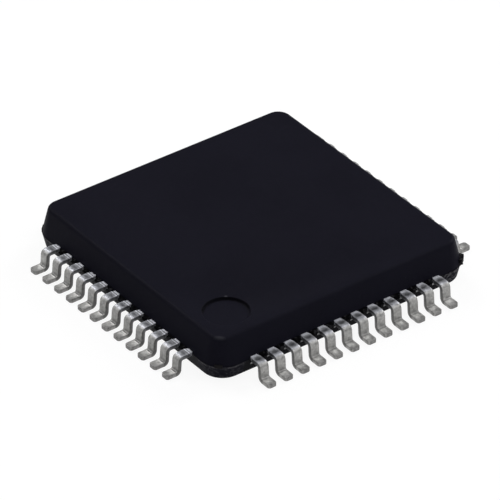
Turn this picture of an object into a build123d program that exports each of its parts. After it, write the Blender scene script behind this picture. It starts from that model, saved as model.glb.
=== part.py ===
from build123d import *
import math
import os

# Quad flat pack chip: a black moulded body with twelve gull-wing leads on each of its four sides.
# Millimetres. The origin is the centre of the package on the plane that its feet stand on, +Z is up.
# Lead 1 is at the left end of the -Y side, beside the dimple, and the leads count on
# anticlockwise seen from above: 1 to 12 on -Y, 13 to 24 on +X, 25 to 36 on +Y, 37 to 48 on -X.

# Rows of leads
sides = 4
leads_per_side = 12
lead_pitch = 0.65

# Moulded body
body_size = 10.0            # across the flats, at the parting line
body_corner_radius = 0.80   # in plan, at the parting line and at the top
seated_height = 1.50        # top face above the seating plane
standoff = 0.10             # underside above the seating plane
upper_draft = 16.0          # degrees
lower_draft = 10.0          # degrees
top_edge_radius = 0.14
bottom_edge_cut = 0.04

# Pin-one dimple in the top face
dimple_diameter = 1.52
dimple_depth = 0.08
dimple_inset = 1.44         # from both flats to its centre
dimple_draft = 20.0         # degrees

# Ejector marks in the underside
ejector_diameter = 1.00
ejector_depth = 0.03
ejector_inset = 1.60        # from both flats to its centre

# Lead outside the body
lead_thickness = 0.127
lead_top = 0.65             # upper face of the shoulder above the seating plane
lead_width = 0.33
neck_width = 0.25           # where the lead leaves the body
neck_length = 0.02
flare_length = 0.10         # from the neck to the full width
lead_reach = 1.00           # body flat to toe
shank_reach = 0.54          # body flat to the outer corner of the shoulder
shank_lean = 4.0            # degrees from upright
bend_radius = 0.06          # inside of both bends
bend_flats = 3              # flats that draw each bend
toe_corner_cut = 0.07

# Lead inside the body
root_length = 0.30          # straight stretch behind the body flat
tip_gap = 0.45              # die pad edge to the inner tips
tip_inset = 0.30            # end tips of a row inside the pad's corner
tip_spacing = 0.16          # between neighbouring tips

# Stubs of resin between the leads, and what is left of the gate
flash_depth = 0.15
flash_root = 0.20           # how far the stub's root reaches into the body
flash_clearance = 0.03      # to the neck of a lead
flash_taper = 0.02          # on each side, from root to end
gate_width = 0.36
gate_height = 0.18          # above the parting line
gate_depth = 0.08
gate_root = 0.30

# Die pad and its tie bars
pad_size = 4.60
pad_downset = 0.13          # pad below the lead plane
tie_bar_width = 0.25
tie_bar_flat = 0.12         # from the pad's corner to the first bend
tie_bar_overlap = 0.40      # under the pad's corner
tie_bar_burr = 0.01         # past the body's corner

# Die and the adhesive under it
die_size = 3.60
die_thickness = 0.28
adhesive_thickness = 0.025
adhesive_spread = 0.05      # past each edge of the die

# Bond wires
wire_diameter = 0.025
ball_diameter = 0.07
ball_height = 0.02
ball_sides = 4
wire_loop_height = 0.15     # wire centre above the die
bond_edge_inset = 0.12      # ball centre from the die's edge
bond_corner_inset = 0.30    # end balls of a row from the die's corner
stitch_inset = 0.08         # from the lead's inner tip to where the wire lands
stitch_length = 0.06

# Levels and half sizes that the pieces share
body_half = body_size / 2
lead_bottom = lead_top - lead_thickness
parting_height = lead_top - lead_thickness / 2
pad_top = lead_top - pad_downset
pad_bottom = pad_top - lead_thickness
die_bottom = pad_top + adhesive_thickness
die_top = die_bottom + die_thickness
tip_distance = pad_size / 2 + tip_gap
tip_pitch = (pad_size - 2 * tip_inset) / (leads_per_side - 1)
bond_pitch = (die_size - 2 * bond_corner_inset) / (leads_per_side - 1)
corner_distance = (body_half - body_corner_radius) * math.sqrt(2) + body_corner_radius
quarter_turn = 360 / sides
outer_bend_radius = bend_radius + lead_thickness
bend_tangent = math.tan(math.radians(90 - shank_lean) / 2)
shoulder_corner = body_half + shank_reach
heel_corner = shoulder_corner + (lead_top - lead_thickness) * math.tan(math.radians(shank_lean))
shoulder_centre = (outer_bend_radius * bend_tangent - shoulder_corner, lead_bottom - bend_radius)
heel_centre = (-bend_radius * bend_tangent - heel_corner, lead_thickness + bend_radius)


def row_place(index, pitch):
    """Where the copy with this index stands along a centred row."""
    return (index - (leads_per_side - 1) / 2) * pitch


def bend_points(centre, radius, first, last):
    """Points along one face of a bend, which is drawn as flats."""
    points = []
    for step in range(bend_flats + 1):
        angle = math.radians(first + (last - first) * step / bend_flats)
        points.append((centre[0] + radius * math.cos(angle), centre[1] + radius * math.sin(angle)))
    return points


def strip_line(shoulder_radius, heel_radius):
    """Side view of one face of a lead of the -Y side, from the inner tip to the toe."""
    return [
        (-tip_distance, shoulder_centre[1] + shoulder_radius),
        *bend_points(shoulder_centre, shoulder_radius, 90, 180 - shank_lean),
        *bend_points(heel_centre, heel_radius, -shank_lean, -90),
        (-(body_half + lead_reach), heel_centre[1] - heel_radius),
    ]


def plan_line(index):
    """Plan outline of one lead: inner tip, fan, neck, flare and toe, round to the tip again."""
    place = row_place(index, lead_pitch)
    tip_place = row_place(index, tip_pitch)
    tip_half = (tip_pitch - tip_spacing) / 2
    fan_end = body_half - root_length
    neck_end = body_half + neck_length
    flare_end = neck_end + flare_length
    toe = body_half + lead_reach
    return [
        (tip_place - tip_half, -tip_distance),
        (place - neck_width / 2, -fan_end),
        (place - neck_width / 2, -neck_end),
        (place - lead_width / 2, -flare_end),
        (place - lead_width / 2, -toe),
        (place + lead_width / 2, -toe),
        (place + lead_width / 2, -flare_end),
        (place + neck_width / 2, -neck_end),
        (place + neck_width / 2, -fan_end),
        (tip_place + tip_half, -tip_distance),
    ]


def make_lead(index):
    """One lead of the -Y side: the bent strip cut to its plan outline."""
    upper = strip_line(outer_bend_radius, bend_radius)
    lower = strip_line(bend_radius, outer_bend_radius)
    with BuildPart() as lead:
        with BuildSketch(Plane.YZ):
            with BuildLine():
                Polyline(*upper, *reversed(lower), close=True)
            make_face()
        extrude(amount=body_half, both=True)
        with BuildSketch() as outline:
            with BuildLine():
                Polyline(*plan_line(index), close=True)
            make_face()
            chamfer(outline.vertices().group_by(Axis.Y)[0], toe_corner_cut)
        extrude(amount=seated_height, mode=Mode.INTERSECT)
    return lead.part


def make_die_pad():
    """The die pad with a tie bar at each corner, bent up to the lead plane."""
    rise = pad_downset
    mitre = lead_thickness * math.tan(math.radians(45 / 2))
    pad_corner = pad_size / 2 * math.sqrt(2)
    first_bend = pad_corner + tie_bar_flat
    end = corner_distance + tie_bar_burr
    with BuildPart() as die_pad:
        with BuildSketch(Plane.XY.offset(pad_bottom)):
            Rectangle(pad_size, pad_size)
        extrude(amount=lead_thickness)
        for corner in range(sides):
            angle = math.radians((corner + 0.5) * quarter_turn)
            along = Vector(math.cos(angle), math.sin(angle), 0)
            upright = Plane(origin=(0, 0, 0), x_dir=along, z_dir=along.cross(Vector(0, 0, 1)))
            with BuildSketch(upright):
                with BuildLine():
                    Polyline(
                        (pad_corner - tie_bar_overlap, pad_top),
                        (first_bend, pad_top),
                        (first_bend + rise, lead_top),
                        (end, lead_top),
                        (end, lead_bottom),
                        (first_bend + rise + mitre, lead_bottom),
                        (first_bend + mitre, pad_bottom),
                        (pad_corner - tie_bar_overlap, pad_bottom),
                        close=True,
                    )
                make_face()
            extrude(amount=tie_bar_width / 2, both=True)
    return die_pad.part


def make_die_attach():
    """The thin bed of adhesive between the pad and the die."""
    with BuildPart() as die_attach:
        with BuildSketch(Plane.XY.offset(pad_top)):
            Rectangle(die_size + 2 * adhesive_spread, die_size + 2 * adhesive_spread)
        extrude(amount=adhesive_thickness)
    return die_attach.part


def make_die():
    """The silicon die."""
    with BuildPart() as die:
        with BuildSketch(Plane.XY.offset(die_bottom)):
            Rectangle(die_size, die_size)
        extrude(amount=die_thickness)
    return die.part


def make_bond_wires():
    """The -Y side's wires: a ball on the die, a rise, and a slope down to the lead's inner end."""
    ball_row = -(die_size / 2 - bond_edge_inset)
    stitch_row = -(tip_distance + stitch_inset)
    level = die_top + wire_loop_height
    landing = lead_top + wire_diameter / 2
    with BuildPart() as wires:
        for index in range(leads_per_side):
            ball = Vector(row_place(index, bond_pitch), ball_row, 0)
            stitch = Vector(row_place(index, tip_pitch), stitch_row, 0)
            span = (stitch - ball).length
            along = (stitch - ball).normalized()
            upright = Plane(origin=ball, x_dir=along, z_dir=along.cross(Vector(0, 0, 1)))
            with BuildSketch(upright):
                with BuildLine():
                    Polyline(
                        (0, die_top + ball_height / 2),
                        (0, level),
                        (span, landing),
                        (span + stitch_length, landing),
                    )
                trace(line_width=wire_diameter)
            extrude(amount=wire_diameter / 2, both=True)
            with BuildSketch(Plane(origin=(ball.X, ball.Y, die_top))):
                RegularPolygon(ball_diameter / 2, ball_sides)
            extrude(amount=ball_height)
    return wires.part


def make_flash_stubs():
    """Stubs of resin that stay in the gaps between the leads, as thick as the lead."""
    root_half = (lead_pitch - neck_width) / 2 - flash_clearance
    end_half = (lead_pitch - lead_width) / 2 - flash_clearance - flash_taper
    with BuildPart() as stubs:
        for side in range(sides):
            with BuildSketch(Plane.XY.offset(lead_bottom).rotated((0, 0, side * quarter_turn))):
                with Locations((0, -body_half)):
                    with GridLocations(lead_pitch, 1, leads_per_side - 1, 1):
                        Polygon(
                            (-root_half, flash_root),
                            (-root_half, 0),
                            (-end_half, -flash_depth),
                            (end_half, -flash_depth),
                            (root_half, 0),
                            (root_half, flash_root),
                            align=None,
                        )
        extrude(amount=lead_thickness)
    return stubs.part


def make_gate_stub():
    """The ragged end of the broken gate at the +X -Y corner, just above the parting line."""
    with BuildPart() as stub:
        with BuildSketch(Plane.XY.offset(parting_height).rotated((0, 0, -quarter_turn / 2))):
            with Locations((corner_distance, 0)):
                Polygon(
                    (-gate_root, -gate_width / 2),
                    (0, -gate_width / 2),
                    (gate_depth * 0.9, -gate_width * 0.33),
                    (gate_depth * 0.4, -gate_width * 0.10),
                    (gate_depth, gate_width * 0.12),
                    (gate_depth * 0.6, gate_width * 0.33),
                    (gate_depth * 0.8, gate_width / 2),
                    (-gate_root, gate_width / 2),
                    align=None,
                )
        extrude(amount=gate_height)
    return stub.part


def make_mould_body(stubs, held):
    """The moulded body with its stubs of resin, closed round everything that it holds."""
    upper_shrink = (seated_height - parting_height) * math.tan(math.radians(upper_draft))
    lower_shrink = (parting_height - standoff) * math.tan(math.radians(lower_draft))
    with BuildPart() as mould_body:
        halves = [
            (seated_height, upper_shrink, body_corner_radius),
            (standoff, lower_shrink, body_corner_radius - lower_shrink),
        ]
        for level, shrink, far_radius in halves:
            with BuildSketch(Plane.XY.offset(parting_height)):
                RectangleRounded(body_size, body_size, body_corner_radius)
            with BuildSketch(Plane.XY.offset(level)):
                drafted_size = body_size - 2 * shrink
                RectangleRounded(drafted_size, drafted_size, far_radius)
            loft(ruled=True)
        fillet(mould_body.edges().group_by(Axis.Z)[-1], top_edge_radius)
        chamfer(mould_body.edges().group_by(Axis.Z)[0], bottom_edge_cut)
        with BuildSketch(Plane.XY.offset(seated_height)):
            with Locations((dimple_inset - body_half, dimple_inset - body_half)):
                Circle(dimple_diameter / 2)
        extrude(amount=-dimple_depth, taper=dimple_draft, mode=Mode.SUBTRACT)
        ejector_spread = body_size - 2 * ejector_inset
        with BuildSketch(Plane.XY.offset(standoff)):
            with GridLocations(ejector_spread, ejector_spread, 2, 2):
                Circle(ejector_diameter / 2)
        extrude(amount=ejector_depth, mode=Mode.SUBTRACT)
        add(stubs)
        add(held, mode=Mode.SUBTRACT)
    return mould_body.part


def save(part, name):
    """Label one piece and write it to its own file."""
    part.label = name
    export_step(part, f"parts/{name}.step")


os.makedirs("parts", exist_ok=True)

lead_row = [make_lead(index) for index in range(leads_per_side)]
wire_row = make_bond_wires()
leads = []
wire_groups = []
for side in range(sides):
    turn = side * quarter_turn
    leads.extend(lead.rotate(Axis.Z, turn) for lead in lead_row)
    wire_groups.append(wire_row.rotate(Axis.Z, turn))

die_pad = make_die_pad()
die_attach = make_die_attach()
die = make_die()
held = [*leads, die_pad, die_attach, die, *wire_groups]
mould_body = make_mould_body([make_flash_stubs(), make_gate_stub()], held)

save(mould_body, "mould_body")
for number, lead in enumerate(leads, start=1):
    save(lead, f"lead_{number:02d}")
save(die_pad, "die_pad")
save(die_attach, "die_attach")
save(die, "die")
for group, side_name in zip(wire_groups, ["front", "right", "back", "left"]):
    save(group, f"bond_wires_{side_name}")
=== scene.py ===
"""Dresses the quad flat pack chip: moulded body, gull-wing leads, resin stubs, finishes, floor and light."""

import logging
import math
import random
from collections.abc import Callable, Iterable, Mapping
from dataclasses import dataclass, field
from enum import Enum
from typing import Any

import bmesh
import bpy
from mathutils import Matrix, Vector


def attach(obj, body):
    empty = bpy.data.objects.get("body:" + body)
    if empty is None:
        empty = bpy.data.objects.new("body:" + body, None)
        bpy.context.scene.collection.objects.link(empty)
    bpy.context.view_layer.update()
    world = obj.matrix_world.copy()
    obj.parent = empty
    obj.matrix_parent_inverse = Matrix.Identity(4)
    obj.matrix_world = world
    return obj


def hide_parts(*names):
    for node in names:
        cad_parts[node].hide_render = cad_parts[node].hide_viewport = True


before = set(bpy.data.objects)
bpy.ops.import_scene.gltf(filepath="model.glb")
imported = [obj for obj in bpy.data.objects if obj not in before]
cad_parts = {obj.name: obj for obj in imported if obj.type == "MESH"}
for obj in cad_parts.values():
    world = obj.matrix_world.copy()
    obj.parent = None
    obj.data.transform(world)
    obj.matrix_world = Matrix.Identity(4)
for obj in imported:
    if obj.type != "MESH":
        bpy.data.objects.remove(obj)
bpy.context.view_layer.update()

log = logging.getLogger("scene")

ORIGIN = (0.0, 0.0, 0.0)
MILLIMETRE = 0.001
LEADS_PER_SIDE = 12
FLAT = 1e-5

# Sizes that several pieces and finishes share, in millimetres. Sides are measured from the middle.
LEAD_PITCH = 0.65
BODY_SIDE = 5.0
BODY_TOP = 1.50
PARTING_HEIGHT = 0.5865
LEAD_TOP = 0.65
LEAD_THICKNESS = 0.127
DIMPLE_PLACE = (-3.56, -3.53)
DIMPLE_RADIUS = 0.790

Colour = tuple[float, float, float]
Place = tuple[float, float, float]
Span = tuple[float, float]


class Side(Enum):
    """A side of the package, with the number of quarter turns from the -Y side."""

    FRONT = 0
    RIGHT = 1
    BACK = 2
    LEFT = 3

    @property
    def turn(self) -> float:
        """The side's turn about +Z in radians."""
        return self.value * math.pi / 2


# Finishes


class Signal:
    """An output socket in a material, on which sums and products add their nodes."""

    def __init__(self, graph: "Graph", socket: bpy.types.NodeSocket) -> None:
        """Wraps an output socket of a graph."""
        self.graph = graph
        self.socket = socket

    def _maths(self, operation: str, first: "Signal | float", second: "Signal | float") -> "Signal":
        """Adds a Math node with two values, and gives its result."""
        return self.graph.add("ShaderNodeMath", {"operation": operation}, {0: first, 1: second})

    def __add__(self, other: "Signal | float") -> "Signal":
        """This plus other."""
        return self._maths("ADD", self, other)

    def __radd__(self, other: float) -> "Signal":
        """Other plus this."""
        return self._maths("ADD", other, self)

    def __sub__(self, other: "Signal | float") -> "Signal":
        """This minus other."""
        return self._maths("SUBTRACT", self, other)

    def __rsub__(self, other: float) -> "Signal":
        """Other minus this."""
        return self._maths("SUBTRACT", other, self)

    def __mul__(self, other: "Signal | float") -> "Signal":
        """This times other."""
        return self._maths("MULTIPLY", self, other)

    def __rmul__(self, other: float) -> "Signal":
        """Other times this."""
        return self._maths("MULTIPLY", other, self)

    def power(self, exponent: float) -> "Signal":
        """This to a power."""
        return self._maths("POWER", self, exponent)

    def size(self) -> "Signal":
        """This without its sign."""
        return self._maths("ABSOLUTE", self, 0.0)

    def larger(self, other: "Signal | float") -> "Signal":
        """The larger of this and other."""
        return self._maths("MAXIMUM", self, other)

    def smaller(self, other: "Signal | float") -> "Signal":
        """The smaller of this and other."""
        return self._maths("MINIMUM", self, other)

    def distance(self, other: "Signal") -> "Signal":
        """The length whose two sides are this and other."""
        return (self.power(2.0) + other.power(2.0)).power(0.5)

    def band(self, low: float, high: float, soft: float) -> "Signal":
        """Is 1 between low and high, and fades to 0 over the width soft outside them."""
        return self.step(low - soft, low) * (1.0 - self.step(high, high + soft))

    def step(self, low: float, high: float) -> "Signal":
        """Rises smoothly from 0 at low to 1 at high."""
        settings = {"interpolation_type": "SMOOTHSTEP"}
        return self.graph.add("ShaderNodeMapRange", settings, {0: self, 1: low, 2: high, 3: 0.0, 4: 1.0})


class Graph:
    """A material's node tree, written as expressions."""

    def __init__(self, name: str) -> None:
        """Makes a material with an empty tree.

        Args:
            name: The material's name.
        """
        self.material = bpy.data.materials.new(name)
        self.material.use_nodes = True
        self.tree = self.material.node_tree
        self.tree.nodes.clear()

    def add(
        self,
        kind: str,
        settings: Mapping[str, Any] | None = None,
        inputs: Mapping[str | int, Any] | None = None,
        output: str | int = 0,
    ) -> Signal:
        """Makes a node.

        Args:
            kind: The node's type.
            settings: Its properties, set first. The key "stops" holds a ramp's stops.
            inputs: Values or signals for its sockets.
            output: The socket that is wanted.

        Returns:
            That output as a signal.
        """
        node = self.tree.nodes.new(kind)
        for key, value in (settings or {}).items():
            if key == "stops":
                self._set_stops(node.color_ramp, value)
            else:
                setattr(node, key, value)
        for key, value in (inputs or {}).items():
            if isinstance(value, Signal):
                self.tree.links.new(value.socket, node.inputs[key])
            else:
                node.inputs[key].default_value = value
        return Signal(self, node.outputs[output])

    @staticmethod
    def _set_stops(ramp: bpy.types.ColorRamp, stops: Iterable[tuple[float, Colour]]) -> None:
        """Gives a ramp its stops.

        Args:
            ramp: The ramp.
            stops: Positions and colours.
        """
        stops = list(stops)
        while len(ramp.elements) < len(stops):
            ramp.elements.new(1.0)
        for element, (position, colour) in zip(ramp.elements, stops):
            element.position = position
            element.color = (*colour, 1.0)

    def place(self) -> Signal:
        """The object coordinates, in metres."""
        return self.add("ShaderNodeTexCoord", output="Object")

    def axis(self, letter: str) -> Signal:
        """One of the object coordinates, in millimetres."""
        inputs = {"Vector": self.place()}
        return self.add("ShaderNodeSeparateXYZ", None, inputs, output=letter) * (1 / MILLIMETRE)

    def outward(self) -> Signal:
        """Distance from the package's middle plane towards the nearest side, in millimetres."""
        return self.axis("X").size().larger(self.axis("Y").size())

    def front(self) -> Signal:
        """Is 1 on the rows of the -Y and +Y sides, and 0 on the two others."""
        return (self.axis("Y").size() - self.axis("X").size()).step(-0.01, 0.01)

    def across(self, start: float = 0.0) -> Signal:
        """Signed place along a row of leads.

        Args:
            start: Where it is 0, from the middle of each gap, in millimetres.

        Returns:
            The place in millimetres.
        """
        x, y = self.axis("X"), self.axis("Y")
        row = y + self.front() * (x - y) - start
        half = LEAD_PITCH / 2
        return self.add("ShaderNodeMath", {"operation": "WRAP"}, {0: row, 1: half, 2: -half})

    def noise(self, size: float, detail: float = 3.0, seed: float = 0.0) -> Signal:
        """Cloudy noise from 0 to 1 with clouds of a size in millimetres. Each seed picks another pattern."""
        inputs = {"Vector": self.place(), "W": seed, "Scale": 1 / (size * MILLIMETRE), "Detail": detail}
        return self.add("ShaderNodeTexNoise", {"noise_dimensions": "4D"}, inputs)

    def specks(self, size: float, seed: float = 0.0) -> Signal:
        """Distance to points scattered size millimetres apart, in units of that spacing."""
        inputs = {"Vector": self.place(), "W": seed, "Scale": 1 / (size * MILLIMETRE)}
        return self.add("ShaderNodeTexVoronoi", {"voronoi_dimensions": "4D"}, inputs)

    def blend(self, share: Signal, low: "Signal | Colour", high: "Signal | Colour") -> Signal:
        """Mixes two colours.

        Args:
            share: How much of the second one shows.
            low: The first colour.
            high: The second colour.

        Returns:
            The mixed colour.
        """
        inputs = {
            "Factor": share,
            6: low if isinstance(low, Signal) else (*low, 1.0),
            7: high if isinstance(high, Signal) else (*high, 1.0),
        }
        return self.add("ShaderNodeMix", {"data_type": "RGBA"}, inputs, output=2)

    def bump(self, height: Signal, depth: float, strength: float = 1.0) -> Signal:
        """Turns heights from 0 to 1 into normals, where a height of 1 is depth millimetres."""
        inputs = {"Height": height, "Distance": depth * MILLIMETRE, "Strength": strength}
        return self.add("ShaderNodeBump", None, inputs)

    def surface(self, inputs: Mapping[str, Any]) -> bpy.types.Material:
        """Ends the material in one principled shader with these inputs."""
        return self.end(self.add("ShaderNodeBsdfPrincipled", None, inputs))

    def end(self, shader: Signal) -> bpy.types.Material:
        """Leads a shader to the material's output.

        Args:
            shader: The shader.

        Returns:
            The material.
        """
        output = self.tree.nodes.new("ShaderNodeOutputMaterial")
        self.tree.links.new(shader.socket, output.inputs["Surface"])
        return self.material


@dataclass(frozen=True)
class CompoundFinish:
    """Black moulding compound: fine grain, faint clouds, specks of filler, and a torn lower half, with
    painted light: painted shade on the lower half and on the dimple's far wall, a painted highlight on the
    front corner, and painted glints and highlights low on the sides.

    Places and spans are in millimetres.
    """

    name: str = "moulding_compound"
    dark: Colour = (0.0086, 0.0084, 0.0140)
    light: Colour = (0.0102, 0.0100, 0.0164)
    filler_and_highlight: Colour = (0.040, 0.040, 0.048)
    pit_and_shade: Colour = (0.002, 0.002, 0.003)
    shade: Colour = (0.0045, 0.0045, 0.0060)
    rough_band: Colour = (0.110, 0.108, 0.115)
    glint: Colour = (0.70, 0.70, 0.70)
    roughness: float = 0.46
    specular: float = 0.02
    mark_place: Span = (-3.095, -2.885)
    mark_radius: float = 1 / 18
    corner_highlight_middle: float = -9.12
    far_wall_shade: Span = (0.095, 0.008)
    sill: Span = (0.030, 0.004)
    torn_past: Span = (3.86, 4.00)
    torn_corner: Span = (2.5, 3.5)
    ridge_below: Span = (0.085, 0.040)
    gap_highlight_across: Span = (0.232, 0.302)
    gap_highlight_low: Span = (0.345, 0.400)
    gap_highlight_high: Span = (0.455, 0.505)

    def _skin(self, graph: Graph, grain: Signal) -> Signal:
        """The moulded skin: faint clouds, specks of filler, a small pale spot on the dimple's far rim,
        painted shade on the dimple's far wall and a painted highlight on the rounded front corner.

        Args:
            graph: The material's graph.
            grain: The fine grain.

        Returns:
            The skin's colour.
        """
        clouds = graph.noise(2.6, 4.0, 1.0)
        colour = graph.blend(clouds.step(0.35, 0.65) * 0.7 + grain * 0.3, self.dark, self.light)
        speck = (1.0 - graph.specks(0.16, 3.0).step(0.05, 0.11)) * graph.noise(0.9, 1.0, 4.0).step(0.52, 0.60)
        colour = graph.blend(speck * 0.55, colour, self.filler_and_highlight)
        x, y, height = graph.axis("X"), graph.axis("Y"), graph.axis("Z")
        from_left, from_near = x - DIMPLE_PLACE[0], y - DIMPLE_PLACE[1]
        foot, rim = (DIMPLE_RADIUS - inset for inset in self.far_wall_shade)
        # Painted shade: the dimple's far wall is darkened towards near black.
        wall = from_left.distance(from_near).band(foot, rim, 0.016)
        wall = wall * (1.0 - height.step(BODY_TOP - 0.004, BODY_TOP - 0.0015))
        wall = wall * (from_left * 0.48 + from_near * 0.88).step(0.00, 0.22)
        colour = graph.blend(wall * 0.70, colour, self.pit_and_shade)
        mark = (x - self.mark_place[0]).distance(y - self.mark_place[1]) * (1 / self.mark_radius)
        mark = (1.0 - mark.step(0.5, 1.3)) * height.step(BODY_TOP - 0.010, BODY_TOP - 0.003)
        colour = graph.blend(mark, colour, self.filler_and_highlight)
        # Painted highlight on the rounded top edge of the front corner, in the pale filler colour.
        corner_highlight_reach = ((x - y) * 3.4).distance((x + y - self.corner_highlight_middle) * 8.0)
        corner_highlight = (1.0 - corner_highlight_reach.step(0.3, 1.2)) * height.step(BODY_TOP - 0.10, BODY_TOP - 0.06) * (0.5 + grain)
        return graph.blend(corner_highlight * 0.60, colour, self.filler_and_highlight)

    def _gap_highlights(self, graph: Graph, height: Signal) -> Signal:
        """Painted highlights on the body below the gaps between the leads.

        Args:
            graph: The material's graph.
            height: Height above the floor in millimetres.

        Returns:
            How much of them shows.
        """
        front = graph.front()
        low = height.band(*self.gap_highlight_low, 0.015) * front
        high = height.band(*self.gap_highlight_high, 0.015) * (1.0 - front)
        return graph.across().band(*self.gap_highlight_across, 0.020) * (low + 0.2 * high)

    def material(self) -> bpy.types.Material:
        """Makes the material.

        Returns:
            The material.
        """
        graph = Graph(self.name)
        grain = graph.noise(0.030, 2.0, 2.0)
        coarse = graph.noise(0.11, 3.0, 5.0)
        tears = graph.noise(0.10, 3.0, 6.0)
        height = graph.axis("Z")
        x, y = graph.axis("X"), graph.axis("Y")
        below = 1.0 - height.step(*(PARTING_HEIGHT - drop for drop in self.sill))
        zone = x.size().smaller(y.size()).step(*self.torn_past)
        torn = x.step(*self.torn_corner) * (y * -1.0).step(*self.torn_corner)
        share = below * zone * (0.22 + 0.78 * torn)
        # Painted shade on the lower half below the parting line, outside the torn corners.
        colour = graph.blend(below * (1.0 - zone) * 0.8, self._skin(graph, grain), self.shade)
        colour = graph.blend(share * tears.step(0.47, 0.62), colour, self.rough_band)
        colour = graph.blend(share * (1.0 - tears.step(0.36, 0.45)), colour, self.pit_and_shade)
        foot, top = (PARTING_HEIGHT - drop for drop in self.ridge_below)
        ridge = height.band(foot, top, 0.018) * zone * coarse.step(0.38, 0.54)
        colour = graph.blend(ridge * 0.6, colour, self.rough_band)
        # Painted glints in the torn corners and painted highlights below the gaps, in the glint colour.
        painted_sparkles = (1.0 - graph.specks(0.21, 9.0).step(0.12, 0.26)) * (0.2 + 0.8 * torn)
        gap_highlights = self._gap_highlights(graph, height)
        colour = graph.blend(below * (zone * painted_sparkles + (1.0 - zone) * gap_highlights), colour, self.glint)
        roughness = self.roughness + 0.16 * (coarse - 0.5) + 0.14 * share
        relief = grain * 0.6 + coarse * 0.4 + tears * share * 2.0
        return graph.surface(
            {
                "Base Color": colour,
                "Roughness": roughness,
                "Specular IOR Level": self.specular,
                "Normal": graph.bump(relief, 0.010, 0.8),
            }
        )


@dataclass(frozen=True)
class TornResinFinish:
    """Broken moulding compound: rough, dark in its pits and a shade paler where it is chipped."""

    name: str = "torn_resin"
    dark: Colour = (0.0012, 0.0012, 0.0018)
    light: Colour = (0.032, 0.032, 0.035)
    roughness: float = 0.62
    specular: float = 0.02

    def material(self) -> bpy.types.Material:
        """Makes the material.

        Returns:
            The material.
        """
        graph = Graph(self.name)
        grain = graph.noise(0.035, 3.0, 7.0)
        chips = graph.noise(0.12, 2.0, 8.0)
        colour = graph.blend(chips.step(0.52, 0.66) * (0.4 + grain), self.dark, self.light)
        return graph.surface(
            {
                "Base Color": colour,
                "Roughness": self.roughness + 0.2 * (grain - 0.5),
                "Specular IOR Level": self.specular,
                "Normal": graph.bump(grain * 0.5 + chips * 0.5, 0.03, 1.0),
            }
        )


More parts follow.
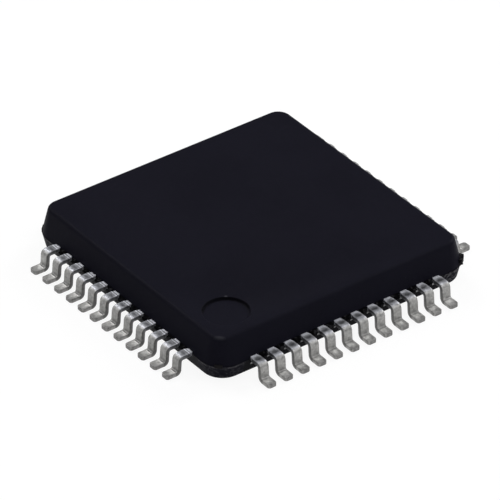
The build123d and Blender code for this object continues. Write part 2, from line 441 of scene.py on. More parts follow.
@dataclass(frozen=True)
class TinFinish:
    """Matte tin plate on the leads: fine crystals, duller patches and lines across the neck, with much
    painted light: painted highlights on the bend, heel and foot, painted shade on the sides, rims, heel and
    some rows, and a painted reflection of the dark body on the shoulder, tinted cool.

    Each level is a distance from the body's side in millimetres and a brightness. Spans are such distances.
    """

    name: str = "matte_tin"
    tint: Colour = (1.0, 0.990, 0.962)
    painted_cool_reflection: Colour = (0.96, 0.98, 1.05)
    metallic: float = 0.55
    roughness: float = 0.45
    # Brightness along the lead, partly painted light: painted highlights at the bend and the heel, and darker
    # towards the toe's end.
    painted_light_levels: tuple[Span, ...] = (
        (0.05, 0.70),
        (0.12, 0.60),
        (0.28, 0.47),
        (0.41, 0.57),
        (0.50, 0.41),
        (0.63, 0.38),
        (0.68, 0.68),
        (0.80, 0.61),
        (0.93, 0.43),
        (0.98, 0.37),
        (1.00, 0.22),
    )
    neck: Span = (0.05, 0.11)
    neck_lines: tuple[tuple[Span, float], ...] = (
        ((0.022, 0.036), 0.9),
        ((0.060, 0.075), -0.5),
        ((0.108, 0.122), 0.9),
        ((0.146, 0.160), -0.5),
    )
    shoulder_reflection_middle: float = 0.205
    bend: Span = (0.38, 0.42)
    warm_past: Span = (0.40, 0.50)
    heel_shade: Span = (0.612, 0.640)
    heel_highlight: Span = (0.652, 0.680)
    foot: Span = (0.67, 0.70)
    foot_highlight_middle: float = 0.73

    def _shoulder(self, graph: Graph, run: Signal) -> Signal:
        """Painted light on the shoulder and neck: a darker ellipse over the coined dish, which is a painted
        reflection of the dark body and stronger on the -Y and +Y rows, brighter necks on the -Y and +Y rows
        and brighter shoulders on the -X and +X rows; and light and dark lines across the necks of the -X and
        +X rows.

        Args:
            graph: The material's graph.
            run: Distance from the body's side in millimetres.

        Returns:
            What the tin's brightness is multiplied with.
        """
        front, across = graph.front(), graph.across(LEAD_PITCH / 2)
        shoulder_reflection = ((run - self.shoulder_reflection_middle) * 9.0).distance(across * 6.2)
        shoulder = 1.0 - run.step(*self.bend)
        # Painted reflection of the dark body: darker over the dish, more on the -Y and +Y rows.
        marks = 1.0 - (1.0 - shoulder_reflection.step(0.35, 1.25)) * shoulder * (0.56 + 0.22 * front)
        lines: Signal | float = 0.0
        for (low, high), strength in self.neck_lines:
            lines = strength * run.band(low, high, 0.012) + lines
        neck = 1.0 - run.step(*self.neck)
        # Painted light: brighter necks on the -Y and +Y rows and, below, brighter shoulders on the -X and +X
        # rows; light and dark lines cross the necks of the -X and +X rows.
        marks = marks * (1.0 + 0.45 * neck * front + lines * (1.0 - front))
        return marks * (1.0 + 0.08 * shoulder * (1.0 - front))

    def _shank(self, graph: Graph, run: Signal) -> Signal:
        """A blot low on the shank, a painted highlight at the heel with painted shade just above it on the -X
        and +X rows, and painted shade on the lead's sides, weaker on the +X row.

        Args:
            graph: The material's graph.
            run: Distance from the body's side in millimetres.

        Returns:
            What the tin's brightness is multiplied with.
        """
        front, across = graph.front(), graph.across(LEAD_PITCH / 2)
        low = graph.axis("Z").band(0.15, 0.20, 0.03) * (1.0 - run.step(0.66, 0.70))
        blot = across.band(-0.03, 0.10, 0.05) * front + across.band(-0.13, -0.07, 0.05) * (1.0 - front)
        # Painted highlight at the heel with painted shade just above it, on the -X and +X rows.
        heel_light_and_shade = 1.62 * run.band(*self.heel_highlight, 0.010) - 0.765 * run.band(*self.heel_shade, 0.010)
        heel_light_and_shade = heel_light_and_shade * (1.0 - across.size().step(0.085, 0.115)) * (1.0 - front)
        # Painted shade on the lead's sides, weaker on the +X row.
        far_row = graph.axis("X").step(BODY_SIDE + 0.2, BODY_SIDE + 0.3)
        side = across.size().step(0.146, 0.160) * (1.0 - 0.85 * far_row)
        dark = 0.66 + 0.11 * (1.0 - run.step(*self.bend)) - 0.34 * run.step(0.62, 0.74)
        marks = 1.0 - low * (0.18 * blot + 0.08 - 0.16 * front)
        return marks * (1.0 + heel_light_and_shade) * (1.0 - side * dark)

    def _foot(self, graph: Graph, run: Signal) -> Signal:
        """A painted highlight in the middle of the foot, painted shade on its rims, and painted shade on the
        +X row's feet and bends and a little on the feet of the -X and +X rows.

        Args:
            graph: The material's graph.
            run: Distance from the body's side in millimetres.

        Returns:
            What the tin's brightness is multiplied with.
        """
        front = graph.front()
        across = graph.across(LEAD_PITCH / 2) + 0.045 * front
        # Painted highlight in the middle of the foot.
        spot = ((run - self.foot_highlight_middle) * 7.0).distance(across * 7.5)
        foot = run.step(*self.foot)
        past = graph.axis("X") - BODY_SIDE
        # Painted shade on the +X row's feet and bends, and a little on the feet of the -X and +X rows.
        row_shade = 1.0 - 0.32 * past.step(0.5, 0.6)
        row_shade = row_shade * (1.0 - 0.10 * foot * (1.0 - front))
        row_shade = row_shade * (1.0 - 0.30 * past.band(0.36, 0.60, 0.02) * graph.axis("Z").step(0.50, 0.56))
        # Painted shade on the foot's rims.
        rim_shade = across.size().step(0.08, 0.15)
        return row_shade * (1.0 + foot * (0.22 * (1.0 - spot.step(0.2, 1.3)) - 0.20 * rim_shade))

    def material(self) -> bpy.types.Material:
        """Makes the material.

        Returns:
            The material.
        """
        graph = Graph(self.name)
        crystals = graph.noise(0.085, 3.0, 11.0)
        patches = graph.noise(0.21, 3.0, 12.0)
        pits = 1.0 - graph.specks(0.11, 13.0).step(0.12, 0.30)
        run = graph.outward() - BODY_SIDE
        wander = run + 0.02 * (patches - 0.5)
        stops = [(place, (level,) * 3) for place, level in self.painted_light_levels]
        level = graph.add("ShaderNodeValToRGB", {"stops": stops}, {0: wander})
        level = level * self._shoulder(graph, wander) * self._shank(graph, wander) * self._foot(graph, run)
        level = level * (1.0 + 0.90 * (patches - 0.5) + 1.5 * (crystals - 0.5))
        level = level * (1.0 - 0.45 * pits * patches.step(0.42, 0.56))
        # Painted cool reflection on the shoulders, and the tin's warm tint past the bend.
        hue = graph.blend(run.step(*self.warm_past), self.painted_cool_reflection, self.tint)
        roughness = self.roughness + 0.20 * (crystals - 0.5) + 0.10 * (patches - 0.5)
        relief = crystals * 0.5 + patches * 0.5
        return graph.surface(
            {
                "Base Color": graph.blend(level.smaller(0.95), (0.0, 0.0, 0.0), hue),
                "Metallic": self.metallic,
                "Roughness": roughness,
                "Normal": graph.bump(relief, 0.012, 0.8),
            }
        )


@dataclass(frozen=True)
class HiddenFinish:
    """A finish of the pieces inside the body, where only a section or the bar ends show them."""

    name: str
    dark: Colour
    light: Colour
    metallic: float
    roughness: float
    grain: float = 0.06
    dark_past: float = 50.0
    cut_end: Colour = (0.012, 0.011, 0.012)
    specular: float = 0.05

    def material(self) -> bpy.types.Material:
        """Makes the material.

        Returns:
            The material.
        """
        graph = Graph(self.name)
        grain = graph.noise(self.grain, 3.0, 21.0)
        colour = graph.blend(grain.step(0.3, 0.7), self.dark, self.light)
        end = graph.axis("X").distance(graph.axis("Y")).step(self.dark_past, self.dark_past + 0.02)
        return graph.surface(
            {
                "Base Color": graph.blend(end, colour, self.cut_end),
                "Metallic": self.metallic * (1.0 - end),
                "Specular IOR Level": self.specular,
                "Roughness": self.roughness + 0.15 * (grain - 0.5),
                "Normal": graph.bump(grain, 0.004, 0.5),
            }
        )


@dataclass(frozen=True)
class FloorFinish:
    """Pale floor that shows white to the camera and in reflections, and keeps the shadow."""

    name: str = "pale_floor"
    colour: Colour = (0.80, 0.80, 0.80)
    paler: Colour = (0.808, 0.808, 0.808)
    lift: float = 0.86
    glow: float = 1.06

    def material(self) -> bpy.types.Material:
        """Makes the material.

        Returns:
            The material.
        """
        graph = Graph(self.name)
        wash = graph.noise(60.0, 2.0, 31.0)
        colour = graph.blend(wash, self.colour, self.paler)
        seen: Signal | float = 0.0
        for ray in ("Is Camera Ray", "Is Glossy Ray", "Is Transmission Ray"):
            seen = graph.add("ShaderNodeLightPath", output=ray) + seen
        diffuse = graph.add("ShaderNodeBsdfDiffuse", None, {"Color": colour})
        glow = graph.add("ShaderNodeEmission", None, {"Color": (1, 1, 1, 1), "Strength": self.glow})
        both = graph.add("ShaderNodeMixShader", None, {0: seen * self.lift, 1: diffuse, 2: glow})
        return graph.end(both)


# Modelling by hand


class Piece:
    """One mesh, shaped with Blender's edit tools in millimetres and finished in metres."""

    def __init__(self, name: str) -> None:
        """Takes the name that the object and its mesh will get."""
        self.name = name
        self.object: bpy.types.Object | None = None

    @staticmethod
    def deselect() -> None:
        """Leaves edit mode and deselects every object."""
        if bpy.context.object and bpy.context.object.mode != "OBJECT":
            bpy.ops.object.mode_set(mode="OBJECT")
        bpy.ops.object.select_all(action="DESELECT")

    def choose(self) -> None:
        """Makes this the active object and the only selected one, outside edit mode."""
        self.deselect()
        self.object.select_set(True)
        bpy.context.view_layer.objects.active = self.object

    def rename(self, name: str) -> None:
        """Names the piece, its object and its mesh."""
        self.name = self.object.name = self.object.data.name = name

    def start(self, add: Callable[..., Any], **settings: Any) -> "Piece":
        """Adds a primitive and takes it as this piece.

        Args:
            add: The operator that adds it.
            settings: The operator's settings.

        Returns:
            This piece.
        """
        self.deselect()
        add(**settings)
        self.object = bpy.context.object
        self.rename(self.name)
        bpy.ops.object.transform_apply(location=True, rotation=True, scale=True)
        return self

    def copy(self, name: str) -> "Piece":
        """Copies this piece, mesh and all.

        Args:
            name: The copy's name.

        Returns:
            The copy.
        """
        self.deselect()
        twin = Piece(name)
        twin.object = self.object.copy()
        twin.object.data = self.object.data.copy()
        twin.rename(name)
        bpy.context.scene.collection.objects.link(twin.object)
        return twin

    def edit(self, mode: str = "VERT") -> None:
        """Opens the mesh for editing.

        Args:
            mode: What is picked: VERT, EDGE or FACE.
        """
        if bpy.context.object is not self.object or self.object.mode != "EDIT":
            self.choose()
            bpy.ops.object.mode_set(mode="EDIT")
        bpy.ops.mesh.select_mode(type=mode)

    def whole(self, mode: str) -> None:
        """Selects all of the mesh, in the mode VERT, EDGE or FACE."""
        self.edit(mode)
        bpy.ops.mesh.select_all(action="SELECT")

    def pick(self, mode: str, test: Callable[[Any], bool]) -> None:
        """Selects what passes a test, and nothing else.

        Args:
            mode: VERT, EDGE or FACE.
            test: Called with each bmesh element.
        """
        self.edit(mode)
        bpy.ops.mesh.select_all(action="DESELECT")
        shape = bmesh.from_edit_mesh(self.object.data)
        parts = {"VERT": shape.verts, "EDGE": shape.edges, "FACE": shape.faces}[mode]
        for part in [part for part in parts if test(part)]:
            part.select_set(True)
        shape.select_flush_mode()
        bmesh.update_edit_mesh(self.object.data)

    def extrude(self, move: Place) -> None:
        """Extrudes the selected faces by a move in millimetres."""
        bpy.ops.mesh.extrude_region_move(TRANSFORM_OT_translate={"value": move})

    def resize(self, scale: Place, centre: Place) -> None:
        """Resizes the selection by three factors about a point."""
        bpy.ops.transform.resize(value=scale, center_override=centre)

    def move(self, by: Place) -> None:
        """Moves the selection."""
        bpy.ops.transform.translate(value=by)

    def join(self, others: Iterable["Piece"]) -> None:
        """Takes other pieces into this one.

        Args:
            others: The pieces, which are gone afterwards.
        """
        self.choose()
        for other in others:
            other.object.select_set(True)
        bpy.ops.object.join()

    def merge(self, distance: float = 0.0004) -> None:
        """Merges doubled points and points the faces outwards.

        Args:
            distance: How near two points are to be merged, in millimetres.
        """
        self.whole("VERT")
        bpy.ops.mesh.remove_doubles(threshold=distance)
        bpy.ops.mesh.normals_make_consistent(inside=False)

    def turn(self, angle: float) -> None:
        """Turns the piece about +Z at the origin, in its mesh.

        Args:
            angle: The turn in radians.
        """
        self.choose()
        self.object.rotation_euler = (0.0, 0.0, angle)
        bpy.ops.object.transform_apply(location=False, rotation=True, scale=False)

    def finish(
        self, material: bpy.types.Material, slot: str, smooth: float, nodes: Iterable[str] = ()
    ) -> None:
        """Scales to metres, shades, dresses and attaches the piece to the root body.

        Args:
            material: Its material.
            slot: Not used.
            smooth: The angle in degrees under which edges are shaded smooth.
            nodes: The CAD nodes that it stands for.
        """
        self.choose()
        self.object.scale = (MILLIMETRE,) * 3
        bpy.ops.object.transform_apply(location=False, rotation=False, scale=True)
        bpy.ops.object.shade_smooth_by_angle(angle=math.radians(smooth))
        self.object.data.materials.clear()
        self.object.data.materials.append(material)
        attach(self.object, "root")
        if nodes:
            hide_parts(*nodes)
        log.info("%s: %d faces", self.name, len(self.object.data.polygons))


# The moulded body


@dataclass
class MouldedBody:
    """The body: two drafted halves that meet at the parting line, a dimple above and marks below.

    Rings are pairs of inset and depth in millimetres.
    """

    corner: float = 0.80
    top_corner: float = 0.50
    bottom: float = 0.07
    upper_draft: float = 16.0
    lower_draft: float = 13.0
    top_edge: float = 0.14
    bottom_edge: float = 0.05
    mismatch: float = 0.012
    arc_steps: int = 5
    corner_steps: int = 10
    wall_shares: tuple[float, ...] = (0.04, 0.30, 0.30, 0.30, 0.06)
    cover_inset: float = 0.06
    dimple_rings: tuple[Span, ...] = (
        (0.012, 0.003),
        (0.014, 0.012),
        (0.016, 0.030),
        (0.016, 0.025),
        (0.020, 0.008),
        (0.030, 0.002),
    )
    dimple_points: int = 72
    mark_radius: float = 0.50
    mark_rings: tuple[Span, ...] = ((0.008, 0.015), (0.010, 0.015))
    mark_points: int = 40
    mark_spread: float = 3.40

    def _half(self, name: str, draft: float, rise: float, edge: float, outset: float, narrows: bool) -> Piece:
        """Shapes one half as an open shell that starts at the parting line.

        Args:
            name: The piece's name.
            draft: The wall's draft in degrees.
            rise: The half's height.
            edge: The radius of its far edge.
            outset: How far its start stands out past the nominal size.
            narrows: Whether the corners narrow to top_corner along the wall.

        Returns:
            The shell, growing upwards from the parting line.
        """
        half = BODY_SIDE + outset
        piece = Piece(name).start(
            bpy.ops.mesh.primitive_plane_add, size=2 * half, location=(0, 0, PARTING_HEIGHT)
        )
        piece.whole("VERT")
        bpy.ops.mesh.bevel(
            offset=self.corner + outset, segments=self.corner_steps, affect="VERTICES", profile=0.5
        )
        lean = math.radians(draft)
        wall_rise = rise - edge * (1 - math.sin(lean))
        piece.edit("FACE")
        steps: list[Span] = []
        radius = self.corner
        for share in self.wall_shares:
            inset = wall_rise * share * math.tan(lean)
            if narrows:
                piece.extrude((0, 0, wall_rise * share))
                piece.resize(((half - inset) / half, (half - inset) / half, 1), ORIGIN)
                radius *= (half - inset) / half
                half -= inset
                narrower = radius - (self.corner - self.top_corner) * share
                self._sharpen(piece, half, radius, narrower)
                radius = narrower
            else:
                steps.append((inset, wall_rise * share))
        angles = [lean + (math.pi / 2 - lean) * i / self.arc_steps for i in range(self.arc_steps + 1)]
        for first, second in zip(angles, angles[1:]):
            steps.append(
                (edge * (math.cos(first) - math.cos(second)), edge * (math.sin(second) - math.sin(first)))
            )
        steps.append((self.cover_inset, 0.0))
        self._inset(piece, steps)
        return piece

    @staticmethod
    def _sharpen(piece: Piece, half: float, old: float, new: float) -> None:
        """Gives the four corners of the selected face another radius.

        Args:
            piece: The piece, with its face selected.
            half: Half the face's size.
            old: The corners' radius.
            new: Their new radius.
        """
        shape = bmesh.from_edit_mesh(piece.object.data)
        level = max(vertex.co.z for vertex in shape.verts)
        reach = half - old - 10 * FLAT
        for x, y in ((-1, -1), (1, -1), (1, 1), (-1, 1)):
            piece.pick(
                "VERT", lambda v: v.co.z > level - FLAT and v.co.x * x > reach and v.co.y * y > reach
            )
            piece.resize((new / old, new / old, 1), (x * half, y * half, level))
        piece.pick("FACE", lambda f: all(v.co.z > level - FLAT for v in f.verts))

    @staticmethod
    def _inset(piece: Piece, steps: Iterable[Span]) -> None:
        """Insets the one selected face again and again.

        Args:
            piece: The piece, with its face selected.
            steps: Each step's inset and rise.
        """
        piece.edit("FACE")
        for inset, rise in steps:
            bpy.ops.mesh.inset(thickness=inset, depth=rise, use_even_offset=True)

    def _bowl(self, name: str, place: Place, radius: float, rings: Iterable[Span], steps: int) -> Piece:
        """Shapes a shallow round bowl that sinks from its open rim.

        Args:
            name: The piece's name.
            place: The rim's centre.
            radius: The rim's radius.
            rings: Each ring's inset and depth.
            steps: How many points go round.

        Returns:
            The bowl.
        """
        bowl = Piece(name).start(
            bpy.ops.mesh.primitive_circle_add, vertices=steps, radius=radius, location=place, fill_type="NGON"
        )
        bowl.pick("FACE", lambda face: True)
        self._inset(bowl, [(inset, -depth) for inset, depth in rings])
        return bowl

    @staticmethod
    def _cover(piece: Piece, height: float, bowls: list[Piece]) -> None:
        """Opens a flat cover, and fills it again round the bowls.

        Args:
            piece: The shell whose cover it is.
            height: The cover's height.
            bowls: The bowls that sink into it.
        """
        piece.pick("FACE", lambda f: len(f.verts) > 4 and all(abs(v.co.z - height) < FLAT for v in f.verts))
        bpy.ops.mesh.delete(type="FACE")
        piece.join(bowls)
        piece.pick("EDGE", lambda e: e.is_boundary and all(abs(v.co.z - height) < FLAT for v in e.verts))
        bpy.ops.mesh.fill(use_beauty=True)

    def build(self, compound: bpy.types.Material) -> None:
        """Builds the body.

        Args:
            compound: Its material.
        """
        rise = BODY_TOP - PARTING_HEIGHT
        upper = self._half("mould_body_look", self.upper_draft, rise, self.top_edge, 0.0, True)
        middle = (*DIMPLE_PLACE, BODY_TOP)
        dimple = self._bowl("dimple", middle, DIMPLE_RADIUS, self.dimple_rings, self.dimple_points)
        self._cover(upper, BODY_TOP, [dimple])
        drop = PARTING_HEIGHT - self.bottom
        lower = self._half("lower_half", self.lower_draft, drop, self.bottom_edge, self.mismatch, False)
        far = PARTING_HEIGHT + drop
        spread = (-self.mark_spread, self.mark_spread)
        spots = [(x, y, far) for x in spread for y in spread]
        marks = [
            self._bowl(f"mark_{number}", spot, self.mark_radius, self.mark_rings, self.mark_points)
            for number, spot in enumerate(spots)
        ]
        self._cover(lower, far, marks)
        lower.whole("VERT")
        lower.resize((1, 1, -1), (0, 0, PARTING_HEIGHT))
        bpy.ops.mesh.flip_normals()
        upper.join([lower])
        upper.pick("EDGE", lambda e: e.is_boundary)
        bpy.ops.mesh.bridge_edge_loops()
        upper.merge()
        upper.finish(compound, "compound", smooth=30, nodes=["mould_body"])


# The leads


@dataclass
class LeadRows:
    """Forty-eight gull-wing leads: one is modelled, then each gets its inner end and its place.

    Rows, columns and dish steps shape the dish in the shoulder. Each step has its half width across the
    lead, where it starts and ends, and its depth.
    """

    width: float = 0.33
    neck: float = 0.25
    flare_start: float = 0.02
    flare: float = 0.10
    root: float = 4.70
    tip: float = 2.75
    reach: float = 1.00
    shank: float = 0.54
    lean: float = 4.0
    bend: float = 0.06
    bend_steps: int = 6
    toe_corner: float = 0.09
    toe_steps: int = 4
    edge: float = 0.022
    sheared_angle: float = 50.0
    weld: float = 0.0002
    tip_pitch: float = 4.0 / 11
    tip_gap: float = 0.16
    dish_steps: tuple[tuple[float, float, float, float], ...] = (
        (0.10, 5.14, 5.31, 0.0036),
        (0.10, 5.16, 5.28, 0.0042),
        (0.06, 5.17, 5.25, 0.0042),
    )
    columns: tuple[float, ...] = (-0.095, -0.05, 0.0, 0.05, 0.095)
    rows: tuple[float, ...] = (5.13, 5.15, 5.18, 5.21, 5.24, 5.27, 5.30)
    shoulder: float = 0.42
    top_skin: float = 0.03
    far_rise: float = 0.050
    rise_past: tuple[float, ...] = (5.09, 5.20, 5.34)
    rise_above: float = 0.30
    last_shorter: float = 0.060
    _end: float = field(default=0.0, init=False)

    def _advance(self, piece: Piece, y: float, scale: float = 1.0) -> None:
        """Extrudes the end face along -Y, notes where it is now, and resizes it across.

        Args:
            piece: The lead.
            y: How far the new end lies from the package's middle.
            scale: The width's factor.
        """
        piece.extrude((0, -(y - self._end), 0))
        if scale != 1.0:
            piece.resize((scale, 1, 1), ORIGIN)
        self._end = y

    def _model(self) -> Piece:
        """Models the lead from its root to its toe, centred on X.

        Returns:
            The lead.
        """
        mid = LEAD_TOP - LEAD_THICKNESS / 2
        lead = Piece("lead_model").start(
            bpy.ops.mesh.primitive_plane_add,
            size=1,
            location=(0, -self.root, mid),
            rotation=(math.pi / 2, 0, 0),
        )
        lead.whole("FACE")
        lead.resize((self.neck, 1, LEAD_THICKNESS), (0, -self.root, mid))
        self._end = self.root
        flare_start = BODY_SIDE + self.flare_start
        self._advance(lead, flare_start)
        self._advance(lead, flare_start + self.flare, self.width / self.neck)
        outer = self.bend + LEAD_THICKNESS
        turn = math.pi / 2 - math.radians(self.lean)
        tangent = math.tan(turn / 2)
        corner = BODY_SIDE + self.shank
        self._advance(lead, corner - outer * tangent)
        self._spin(lead, turn, (0, -self._end, LEAD_TOP - outer))
        heel = corner + (LEAD_TOP - LEAD_THICKNESS) * math.tan(math.radians(self.lean))
        run = math.hypot(heel - corner, LEAD_TOP - LEAD_THICKNESS) - outer * tangent - self.bend * tangent
        lean = math.radians(self.lean)
        down = Vector((0, -math.sin(lean), -math.cos(lean))) * run
        lead.extrude(tuple(down))
        self._spin(lead, -turn, (0, -(heel + self.bend * tangent), LEAD_THICKNESS + self.bend))
        self._end = heel + self.bend * tangent
        toe = BODY_SIDE + self.reach
        self._advance(lead, toe - self.toe_corner)
        width = self.width
        for step in range(1, self.toe_steps + 1):
            angle = math.pi / 2 * step / self.toe_steps
            narrower = self.width - 2 * self.toe_corner * (1 - math.cos(angle))
            self._advance(lead, toe - self.toe_corner * (1 - math.sin(angle)), narrower / width)
            width = narrower
        lead.merge(self.weld)
        return lead

    def _spin(self, piece: Piece, angle: float, centre: Place) -> None:
        """Sweeps the end face round a bend, downwards where the angle is positive."""
        bpy.ops.mesh.spin(steps=self.bend_steps, angle=angle, center=centre, axis=(-1, 0, 0))

    def _soften(self, lead: Piece) -> None:
        """Rounds the sheared edges, and dishes the shoulder.

        Args:
            lead: The lead.
        """
        lead.pick(
            "EDGE",
            lambda e: len(e.link_faces) == 2
            and e.calc_face_angle(0) > math.radians(self.sheared_angle)
            and not all(v.co.y > -self.root - 10 * FLAT for v in e.verts),
        )
        bpy.ops.mesh.bevel(offset=self.edge, segments=2, profile=0.5, affect="EDGES", clamp_overlap=True)
        for x in self.columns:
            lead.whole("FACE")
            bpy.ops.mesh.bisect(plane_co=(x, 0, 0), plane_no=(1, 0, 0), threshold=FLAT)
        for y in self.rows:
            lead.pick("FACE", lambda f: f.calc_center_median().y > -BODY_SIDE - self.shoulder)
            bpy.ops.mesh.bisect(plane_co=(0, -y, 0), plane_no=(0, 1, 0), threshold=FLAT)
        for reach, low, high, depth in self.dish_steps:
            lead.pick(
                "VERT",
                lambda v: v.co.z > LEAD_TOP - self.top_skin and abs(v.co.x) < reach and low < -v.co.y < high,
            )
            lead.move((0, 0, -depth))

    def build(self, tin: bpy.types.Material) -> None:
        """Builds all the leads.

        Args:
            tin: Their material.
        """
        model = self._model()
        self._soften(model)
        for index in range(LEADS_PER_SIDE):
            lead = self._with_inner_end(model, index)
            for side in Side:
                number = side.value * LEADS_PER_SIDE + index + 1
                twin = lead.copy(f"lead_{number:02d}_look")
                if side is Side.RIGHT:
                    self._unlike(twin, index == 0)
                twin.turn(side.turn)
                twin.finish(tin, "tinned_lead", smooth=40, nodes=[f"lead_{number:02d}"])
            bpy.data.objects.remove(lead.object)
        bpy.data.objects.remove(model.object)

    def _unlike(self, lead: Piece, last: bool) -> None:
        """Forms a lead of the +X side a little unlike the rest.

        Args:
            lead: The lead, not yet turned to its side.
            last: Whether it is the one next to the gate, whose shoulder is short. The others rise at theirs.
        """
        past = self.rise_past[-1:] if last else self.rise_past
        for place in past:
            lead.pick("VERT", lambda v: v.co.y < -place and v.co.z > self.rise_above)
            lead.move((0, self.last_shorter, 0) if last else (0, 0, self.far_rise / len(past)))

    def _with_inner_end(self, model: Piece, index: int) -> Piece:
        """Adds the end inside the body, and moves the lead to its place in the row.

        Args:
            model: The lead without that end.
            index: The lead's place in the row, from 0.

        Returns:
            The lead of the -Y side.
        """
        row = index - (LEADS_PER_SIDE - 1) / 2
        shift = row * (self.tip_pitch - LEAD_PITCH)
        lead = model.copy(f"lead_{index}")
        lead.pick("FACE", lambda f: f.calc_center_median().y > -self.root - 10 * FLAT)
        lead.extrude((shift, self.root - self.tip, 0))
        lead.resize(((self.tip_pitch - self.tip_gap) / self.neck, 1, 1), (shift, 0, 0))
        lead.whole("VERT")
        lead.move((row * LEAD_PITCH, 0, 0))
        lead.merge(self.weld)
        return lead


# Resin that the trimming leaves


@dataclass
class ResinRemains:
    """The stubs of resin between the leads, and the torn end of the gate.

    Spans are what the dice choose from: shares of a stub's size, and the gate's tears in millimetres.
    """

    seed: int = 48
    depth: float = 0.15
    width: float = 0.28
    root: float = 0.03
    depths: Span = (0.72, 1.0)
    widths: Span = (0.85, 1.0)
    end_widths: Span = (0.55, 0.75)
    end_heights: Span = (0.6, 0.85)
    end_share: float = 0.6
    end_level: float = 0.55
    torn_past: float = 0.01
    tremble: float = 0.010
    cuts: int = 3
    weld: float = 0.0001
    gate_middle: float = 6.675
    gate_length: float = 0.272
    gate_width: float = 0.40
    gate_height: float = 0.18
    gate_shift: float = 0.04
    gate_cuts: int = 5
    gate_torn_past: float = 6.755
    gate_tears: tuple[Span, Span, Span] = ((-0.045, 0.03), (-0.012, 0.012), (-0.016, 0.010))

    def _stub(self, name: str, x: float, dice: random.Random) -> Piece:
        """Models one stub of the -Y side.

        Args:
            name: The piece's name.
            x: Its place along the row.
            dice: Where its small differences come from.

        Returns:
            The stub.
        """
        depth = self.depth * dice.uniform(*self.depths)
        width = self.width * dice.uniform(*self.widths)
        stub = Piece(name).start(
            bpy.ops.mesh.primitive_cube_add,
            size=1,
            location=(x, -(BODY_SIDE + depth / 2 - self.root), LEAD_TOP - LEAD_THICKNESS / 2),
            scale=(width, depth + 2 * self.root, LEAD_THICKNESS),
        )
        stub.pick("EDGE", lambda e: True)
        bpy.ops.mesh.subdivide(number_cuts=self.cuts)
        outer = -(BODY_SIDE + depth * self.end_share)
        stub.pick("VERT", lambda v: v.co.y < outer)
        narrower = (dice.uniform(*self.end_widths), 1, dice.uniform(*self.end_heights))
        stub.resize(narrower, (x, 0, LEAD_TOP - LEAD_THICKNESS * self.end_level))
        shape = bmesh.from_edit_mesh(stub.object.data)
        for vertex in shape.verts:
            if vertex.co.y < -BODY_SIDE - self.torn_past:
                vertex.co += Vector([dice.uniform(-self.tremble, self.tremble) for _ in range(3)])
                vertex.co.y = max(vertex.co.y, -(BODY_SIDE + self.depth))
        bmesh.update_edit_mesh(stub.object.data)
        return stub

    def _gate(self, dice: random.Random) -> Piece:
        """Models the torn gate end at the +X -Y corner.

        Args:
            dice: Where its ragged shape comes from.

        Returns:
            The gate end.
        """
        gate = Piece("gate_end_look").start(
            bpy.ops.mesh.primitive_cube_add,
            size=1,
            location=(self.gate_middle, self.gate_shift, PARTING_HEIGHT + self.gate_height / 2),
            scale=(self.gate_length, self.gate_width, self.gate_height),
        )
        gate.pick("EDGE", lambda e: True)
        bpy.ops.mesh.subdivide(number_cuts=self.gate_cuts)
        shape = bmesh.from_edit_mesh(gate.object.data)
        for vertex in shape.verts:
            if vertex.co.x > self.gate_torn_past:
                vertex.co += Vector([dice.uniform(*span) for span in self.gate_tears])
        bmesh.update_edit_mesh(gate.object.data)
        gate.turn(-math.pi / 4)
        return gate

    def build(self, torn: bpy.types.Material, torn_gate: bpy.types.Material) -> None:
        """Builds the remains.

        Args:
            torn: The stubs' material.
            torn_gate: The gate end's material.
        """
        dice = random.Random(self.seed)
        stubs: list[Piece] = []
        for side in Side:
            for gap in range(LEADS_PER_SIDE - 1):
                x = (gap - (LEADS_PER_SIDE - 2) / 2) * LEAD_PITCH
                stub = self._stub(f"stub_{side.value}_{gap}", x, dice)
                stub.turn(side.turn)
                stubs.append(stub)
        first = stubs[0]
        first.join(stubs[1:])
        first.rename("resin_stubs_look")
        first.merge(self.weld)
        first.finish(torn, "compound", smooth=25)
        gate = self._gate(dice)
        gate.merge(self.weld)
        gate.finish(torn_gate, "compound", smooth=25)


# The pieces inside


@dataclass
class InnerPieces:
    """The CAD nodes that stay as they are and only get their finishes."""

    finishes: dict[str, HiddenFinish] = field(
        default_factory=lambda: {
            "die_pad": HiddenFinish(
                "frame_metal", (0.50, 0.40, 0.33), (0.62, 0.50, 0.41), 1.0, 0.50, dark_past=6.60
            ),
            "die_attach": HiddenFinish("filled_adhesive", (0.42, 0.42, 0.43), (0.58, 0.58, 0.60), 0.6, 0.60),
            "die": HiddenFinish("polished_silicon", (0.10, 0.11, 0.14), (0.15, 0.16, 0.20), 0.8, 0.16, 0.5),
            "bond_wires": HiddenFinish("drawn_gold", (0.72, 0.48, 0.14), (0.86, 0.62, 0.22), 1.0, 0.28, 0.02),
        }
    )

    def dress(self) -> None:
        """Gives each node its material."""
        materials = {name: finish.material() for name, finish in self.finishes.items()}
        for name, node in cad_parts.items():
            kind = "bond_wires" if name.startswith("bond_wires") else name
            if kind in materials:
                node.data.materials.clear()
                node.data.materials.append(materials[kind])
                log.info("%s dressed with %s", name, materials[kind].name)


# The studio


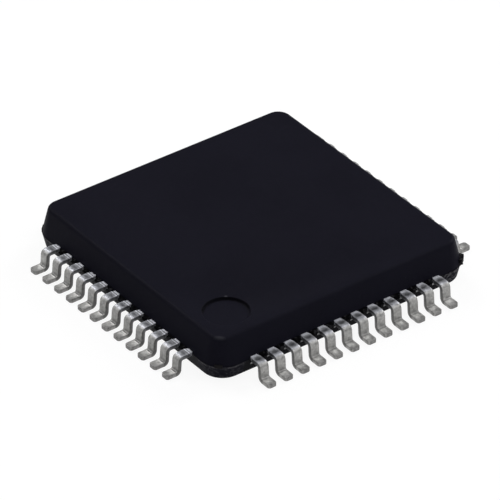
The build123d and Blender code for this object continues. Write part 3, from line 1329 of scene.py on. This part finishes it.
@dataclass
class Studio:
    """Floor, light and camera."""

    azimuth: float = -36.35
    elevation: float = 34.40
    roll: float = -0.27
    distance: float = 0.19142
    lens: float = 432.5
    aim_height: float = 0.00078
    aim_right: float = -0.0000225
    aim_up: float = -0.0003156
    sensor_width: float = 36.0
    clip: Span = (0.01, 20.0)
    floor_size: float = 4.0
    floor_gap: float = 0.00001
    floor_cuts: int = 4
    sky: Colour = (0.158, 0.158, 0.166)
    lamps: list[tuple[str, Place, float, float]] = field(
        default_factory=lambda: [
            ("overhead", (0.02, 0.06, 0.45), 0.30, 0.25),
            ("back", (0.0, 0.36, 0.30), 0.22, 0.76),
            ("back_left", (-0.28, 0.33, 0.25), 0.20, 0.24),
            ("front", (0.02, -0.42, 0.24), 0.20, 0.21),
            ("front_right", (0.24, -0.28, 0.33), 0.20, 0.33),
            ("right", (0.42, 0.05, 0.25), 0.20, 1.20),
        ]
    )

    def build(self) -> None:
        """Builds the studio."""
        self._camera()
        self._floor()
        self._light()

    def _camera(self) -> None:
        """Puts the camera where the photograph was taken from."""
        azimuth = math.radians(self.azimuth)
        elevation = math.radians(self.elevation)
        back = Vector(
            (
                math.sin(azimuth) * math.cos(elevation),
                -math.cos(azimuth) * math.cos(elevation),
                math.sin(elevation),
            )
        )
        right = Vector((0, 0, 1)).cross(back).normalized()
        up = back.cross(right)
        target = Vector((0, 0, self.aim_height))
        aim = target + right * self.aim_right + up * self.aim_up
        lens = bpy.data.cameras.new("photo_camera")
        lens.lens = self.lens
        lens.sensor_width = self.sensor_width
        lens.clip_start, lens.clip_end = self.clip
        camera = bpy.data.objects.new("photo_camera", lens)
        camera.location = target + back * self.distance
        look = (camera.location - aim).to_track_quat("Z", "Y").to_matrix().to_4x4()
        roll = Matrix.Rotation(math.radians(self.roll), 4, "Z")
        camera.matrix_world = Matrix.Translation(camera.location) @ look @ roll
        bpy.context.scene.collection.objects.link(camera)
        bpy.context.scene.camera = camera
        bpy.context.scene.view_settings.view_transform = "Standard"

    def _floor(self) -> None:
        """Lays the floor."""
        floor = Piece("floor").start(
            bpy.ops.mesh.primitive_plane_add, size=self.floor_size, location=(0, 0, -self.floor_gap)
        )
        floor.whole("FACE")
        bpy.ops.mesh.subdivide(number_cuts=self.floor_cuts)
        Piece.deselect()
        floor.object.data.materials.append(FloorFinish().material())

    def _light(self) -> None:
        """Sets the sky and the lamps."""
        world = bpy.data.worlds.new("studio_sky")
        world.use_nodes = True
        world.node_tree.nodes["Background"].inputs["Color"].default_value = (*self.sky, 1.0)
        bpy.context.scene.world = world
        for name, place, size, power in self.lamps:
            lamp = bpy.data.lights.new(name, "AREA")
            lamp.size = size
            lamp.energy = power
            holder = bpy.data.objects.new(name, lamp)
            holder.location = place
            holder.rotation_euler = Vector(place).to_track_quat("Z", "Y").to_euler()
            bpy.context.scene.collection.objects.link(holder)


def main() -> None:
    """Builds every part of the scene in order."""
    logging.basicConfig(level=logging.INFO, format="%(name)s %(message)s")
    Studio().build()
    MouldedBody().build(CompoundFinish().material())
    LeadRows().build(TinFinish().material())
    torn_gate = TornResinFinish("torn_gate", dark=(0.0085, 0.0085, 0.0105), light=(0.060, 0.060, 0.064))
    ResinRemains().build(TornResinFinish().material(), torn_gate.material())
    InnerPieces().dress()
    Piece.deselect()


if __name__ == "__main__":
    main()
